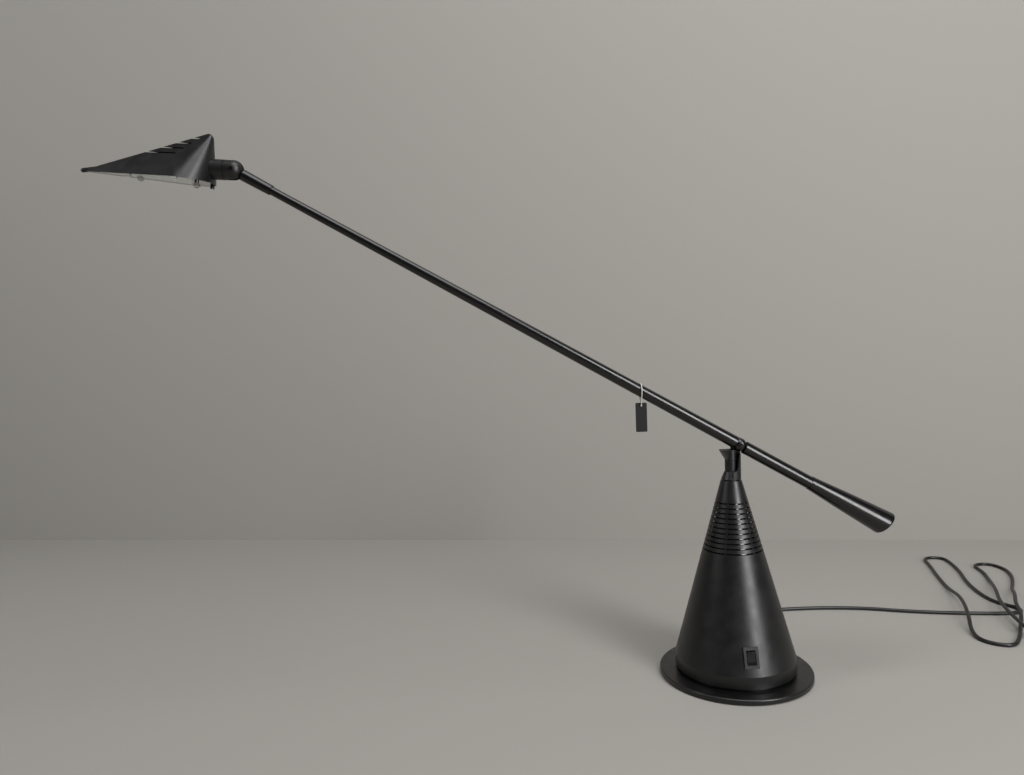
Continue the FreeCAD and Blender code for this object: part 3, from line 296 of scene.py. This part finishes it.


def dressNodes():
    tubeLacquer = blackLacquer("lacqueredTube", lacquerSettings["tubeRoughness"])
    plateLacquer = blackLacquer("lacqueredPlate", lacquerSettings["plateRoughness"])
    # polished black ABS: a clean sharp gloss; unglazed steatite: pale and matt; nickel plate: a warm
    # mirror; polyamide, nylon and acetal: satin from the mould or the lathe
    worn = [
        (mouldedAbs(), ["cone_housing", "lamp_shade", "head_stub", "knuckle_housing", "stop_block",
                        "neck_sleeve", "spacer_ring", "switch_body", "plug_body"]),
        (tubeLacquer, ["counterweight", "front_tube", "rear_tube", "arm_ferrule", "pivot_ball",
                       "pivot_screw", "weight_screw", "knuckle_pin"]),
        (plateLacquer, ["foot_plate", "neck_post"]),
        (plain("polishedBlackAbs", "#0c0c0d", 0.16, IOR=1.54),
         ["switch_rocker", "pane_latches", "vent_guard"]),
        (mouldedRubber(), ["foot_pad", "cord_outlet", "arm_lead"]),
        (zincPlatedSteel(), ["foot_screws", "strap_screws", "transformer_strap", "switch_pin",
                             "swivel_washer", "swivel_nut", "pivot_nut", "roll_screw", "holder_screws",
                             "capsule_pins"]),
        (varnishedLaminations(), ["transformer_core"]),
        (enamelledWire(), ["transformer_winding"]),
        (plain("mouldedPolyamide", "#cfc6ae", 0.5, IOR=1.53), ["terminal_block"]),
        (plain("nickelPlatedBrass", "#cfc9bd", 0.22, Metallic=1.0), ["plug_pins"]),
        (plain("turnedAcetal", "#101011", 0.4, IOR=1.48), ["swivel_bush"]),
        (plain("mouldedNylon", "#d9d9d4", 0.5, IOR=1.53), ["pivot_washers"]),
        (rolledAluminium(), ["reflector"]),
        (floatGlass(), ["glass_pane", "halogen_capsule"]),
        (highlightPaintedPolycarbonate(), ["pane_clips"]),
        (plain("unglazedSteatite", "#d8d2c6", 0.55, IOR=1.6), ["lamp_holder"]),
        (spunCotton(), ["tag_string"]),
        (coatedCard(), ["tag_card"]),
        (extrudedPvc(), ["mains_cord"]),
    ]
    finishes.update({name: material for material, names in worn for name in names})
    for name, material in finishes.items():
        mesh = nodes[name].data
        mesh.materials.clear()
        mesh.materials.append(material)
    # the reflector's back, whose faces look up, is lacquered black: partly painted shade, standing in for
    # the shade inside the lamp head, so the louvres stay dark
    back = nodes["reflector"].data
    back.materials.append(plateLacquer)
    for face in back.polygons:
        if face.normal.z > paintedShadeRise:
            face.material_index = 1


dressNodes()
print("materials given to %d nodes" % len(finishes))

# edges that a mould or a file would round, with how wide the round is in mm
edgeRounds = {
    "cone_housing": 0.5, "foot_plate": 0.5, "switch_body": 0.35, "switch_rocker": 0.3, "neck_sleeve": 0.5,
    "stop_block": 0.4, "pivot_ball": 0.4, "knuckle_housing": 0.4, "head_stub": 0.5, "lamp_shade": 0.4,
    "arm_ferrule": 0.4, "neck_post": 0.3, "cord_outlet": 0.5, "plug_body": 0.6, "counterweight": 0.3,
    "pane_clips": 0.25, "pane_latches": 0.4, "glass_pane": 0.4, "lamp_holder": 0.5, "terminal_block": 0.6,
    "transformer_winding": 1.2, "transformer_strap": 0.4, "spacer_ring": 0.4, "tag_card": 0.1,
}
bevelSegments = 2
creaseAngle = 35  # degrees; two faces that meet at less than this look like one smooth surface
creaseAngles = {"cone_housing": 12}  # keeps the cone's faint edge above its upright band
weldGap = 0.002 * mm


def smoothNodes():
    for name, node in nodes.items():
        mesh = node.data
        if "custom_normal" in mesh.attributes:
            mesh.attributes.remove(mesh.attributes["custom_normal"])
        weld = node.modifiers.new("weld", "WELD")
        weld.merge_threshold = weldGap
        for face in mesh.polygons:
            face.use_smooth = True
        if name in edgeRounds:
            bevel = node.modifiers.new("edgeRound", "BEVEL")
            bevel.width = edgeRounds[name] * mm
            bevel.segments = bevelSegments
            bevel.limit_method = "ANGLE"
            bevel.angle_limit = math.radians(creaseAngles.get(name, creaseAngle))
            bevel.harden_normals = True
        else:
            split = node.modifiers.new("sharpEdges", "EDGE_SPLIT")
            split.split_angle = math.radians(creaseAngle)


smoothNodes()
print("edges rounded")

# the shade's moulded tip, a little thicker than its thin edge, placed as the CAD places the shade;
# its nose, ridge and rim are in mm from the shade's back
tipSettings = {
    "knuckle": (-512.433, 0, 555.019), "headPitch": 4.3, "headRoll": 3, "backReach": 20.4, "backDrop": 14.8,
    "shadePitch": 3.3, "nose": (137.2, 0.9), "noseRadius": 2.36, "noseSubdivisions": 3,
    "ridge": (124.0, 6.1), "rim": (132.5, 3.2),
}


def shadePlace():
    tip = tipSettings
    faceHead = Matrix.Rotation(math.pi, 4, "Z")
    pitch = Matrix.Rotation(-math.radians(tip["headPitch"]), 4, "Y")
    roll = Matrix.Rotation(-math.radians(tip["headRoll"]), 4, "X")
    back = Matrix.Translation((tip["backReach"], 0, -tip["backDrop"]))
    lean = Matrix.Rotation(-math.radians(tip["shadePitch"]), 4, "Y")
    return Matrix.Scale(mm, 4) @ Matrix.Translation(tip["knuckle"]) @ faceHead @ pitch @ roll @ back @ lean


# the hull of a round nose, a point on the ridge and two on the rim
def thickenTip():
    tip = tipSettings
    shape = bmesh.new()
    noseX, noseZ = tip["nose"]
    bmesh.ops.create_icosphere(shape, subdivisions=tip["noseSubdivisions"], radius=tip["noseRadius"],
                               matrix=Matrix.Translation((noseX, 0, noseZ)))
    ridgeX, ridgeZ = tip["ridge"]
    rimX, rimY = tip["rim"]
    for corner in ((ridgeX, 0, ridgeZ), (rimX, rimY, 0), (rimX, -rimY, 0)):
        shape.verts.new(corner)
    hull = bmesh.ops.convex_hull(shape, input=shape.verts)
    spare = {item for item in hull["geom_interior"] + hull["geom_unused"]
             if isinstance(item, bmesh.types.BMVert)}
    bmesh.ops.delete(shape, geom=list(spare), context="VERTS")
    shape.transform(shadePlace())
    mesh = bpy.data.meshes.new("shadeTip")
    shape.to_mesh(mesh)
    shape.free()
    for face in mesh.polygons:
        face.use_smooth = True
    mesh.materials.append(finishes["lamp_shade"])
    piece = bpy.data.objects.new("shadeTip", mesh)
    bpy.context.scene.collection.objects.link(piece)
    piece.modifiers.new("sharpEdges", "EDGE_SPLIT").split_angle = math.radians(creaseAngle)
    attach(piece, "head")


thickenTip()
print("shade's tip thickened")

# the cord's line, from its outlet to the plug: the same corners as its tube, in metres
cordRoute = [
    (0.0, 0.0954, 0.0152), (0.0, 0.11, 0.0152), (0.006, 0.132, 0.0063), (0.024, 0.152, 0.0023),
    (0.05, 0.166, 0.0023), (0.084, 0.176, 0.0023), (0.126, 0.181, 0.0023), (0.174, 0.18, 0.0023),
    (0.222, 0.1725, 0.0023), (0.268, 0.156, 0.0023), (0.318, 0.1445, 0.0023),
    (0.366, 0.1375, 0.0023), (0.4015, 0.1357, 0.0023), (0.41, 0.1532, 0.0023),
    (0.3965, 0.172, 0.0023), (0.3935, 0.192, 0.0023), (0.396, 0.218, 0.0023),
    (0.406, 0.261, 0.0023), (0.426, 0.312, 0.0023), (0.437, 0.354, 0.0023), (0.441, 0.384, 0.0023),
    (0.411, 0.388, 0.0023), (0.4, 0.346, 0.0023), (0.383, 0.296, 0.0023), (0.366, 0.238, 0.0023),
    (0.349, 0.178, 0.0113), (0.323, 0.118, 0.0113), (0.303, 0.078, 0.0023), (0.301, 0.05, 0.0023),
    (0.325, 0.034, 0.0023), (0.347, 0.058, 0.0023), (0.3678, 0.088, 0.0023), (0.385, 0.112, 0.0113),
    (0.401, 0.148, 0.0113), (0.424, 0.184, 0.0113), (0.446, 0.224, 0.0023), (0.47, 0.258, 0.0023),
    (0.488, 0.29, 0.0023), (0.496, 0.32, 0.0023), (0.487, 0.346, 0.0023), (0.461, 0.34, 0.0023),
    (0.457, 0.306, 0.0023), (0.44, 0.262, 0.0023), (0.412, 0.206, 0.0113), (0.388, 0.16, 0.0113),
    (0.372, 0.118, 0.0121), (0.358, 0.066, 0.0121), (0.362, 0.038, 0.0023), (0.38, 0.01, 0.0068),
    (0.402, -0.014, 0.0068),
]


def layCord():
    curve = bpy.data.curves.new("mainsCord", "CURVE")
    curve.dimensions = "3D"
    curve.bevel_depth = cordSettings["diameter"] / 2
    curve.bevel_resolution = cordSettings["roundSteps"]
    curve.resolution_u = cordSettings["lengthSteps"]
    curve.use_fill_caps = True
    line = curve.splines.new("NURBS")
    line.points.add(len(cordRoute) - 1)
    for point, place in zip(line.points, cordRoute):
        point.co = (*place, 1)
    line.use_endpoint_u = True
    line.order_u = 3  # arcs that touch the middle of each leg, as in its tube
    curve.materials.append(finishes["mains_cord"])
    cord = bpy.data.objects.new("mainsCordLine", curve)
    bpy.context.scene.collection.objects.link(cord)
    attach(cord, "base")
    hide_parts("mains_cord")


layCord()
print("cord laid")

# the plain studio: an even pale-grey floor and wall, whose foot lies on the photograph's floor line
studio = {
    "floor": "#9b9893", "wall": "#9a9792", "paintRoughness": 0.9, "reach": 4.0,
    "wallFoot": (-0.2408, 0.6034), "wallTurn": -8.29,  # metres and degrees
    "air": "#f2f2f2", "airStrength": 0.09,
}

# a tall soft strip at the right, a wide soft lamp overhead and a wash on the wall's left
lamps = {  # metres and watts
    "stripLamp": {"place": (0.98, -1.45, 0.95), "aim": (-0.1, 0, 0.25),
                  "power": 36, "width": 0.62, "height": 1.7},
    "topLamp": {"place": (0.05, -0.6, 2.1), "aim": (-0.1, 0, 0.25),
                "power": 24, "width": 1.5, "height": 1.5},
    "washLamp": {"place": (-2.1, -0.5, 1.5), "aim": (-0.7, 0.65, 0.3),
                 "power": 11, "width": 0.7, "height": 0.9},
}


def paintedBoard(name, colour):
    # matt painted board: even and pale, with no pattern of its own
    return plain(name, colour, studio["paintRoughness"])


def buildStudio():
    reach = studio["reach"]
    turn = math.radians(studio["wallTurn"])
    along = Vector((math.cos(turn), math.sin(turn), 0)) * reach
    foot = Vector((*studio["wallFoot"], 0))
    up = Vector((0, 0, reach))
    boards = {"floor": [(-reach, -reach, 0), (reach, -reach, 0), (reach, reach, 0), (-reach, reach, 0)],
              "wall": [foot - along, foot + along, foot + along + up, foot - along + up]}
    for name, corners in boards.items():
        mesh = bpy.data.meshes.new(name + "Board")
        mesh.from_pydata(corners, [], [(0, 1, 2, 3)])
        mesh.materials.append(paintedBoard(name + "Paint", studio[name]))
        board = bpy.data.objects.new(name + "Board", mesh)
        bpy.context.scene.collection.objects.link(board)


def lightStudio():
    for name, lamp in lamps.items():
        data = bpy.data.lights.new(name, "AREA")
        data.energy = lamp["power"]
        data.shape = "RECTANGLE"
        data.size = lamp["width"]
        data.size_y = lamp["height"]
        piece = bpy.data.objects.new(name, data)
        bpy.context.scene.collection.objects.link(piece)
        piece.location = lamp["place"]
        beam = Vector(lamp["aim"]) - Vector(lamp["place"])
        piece.rotation_euler = beam.to_track_quat("-Z", "Y").to_euler()
    world = bpy.data.worlds.new("studioAir")
    bpy.context.scene.world = world
    world.use_nodes = True
    air = world.node_tree.nodes["Background"]
    air.inputs["Strength"].default_value = studio["airStrength"]
    air.inputs["Color"].default_value = linear(studio["air"])
    bpy.context.scene.view_settings.view_transform = "Standard"


buildStudio()
lightStudio()
print("studio lit")
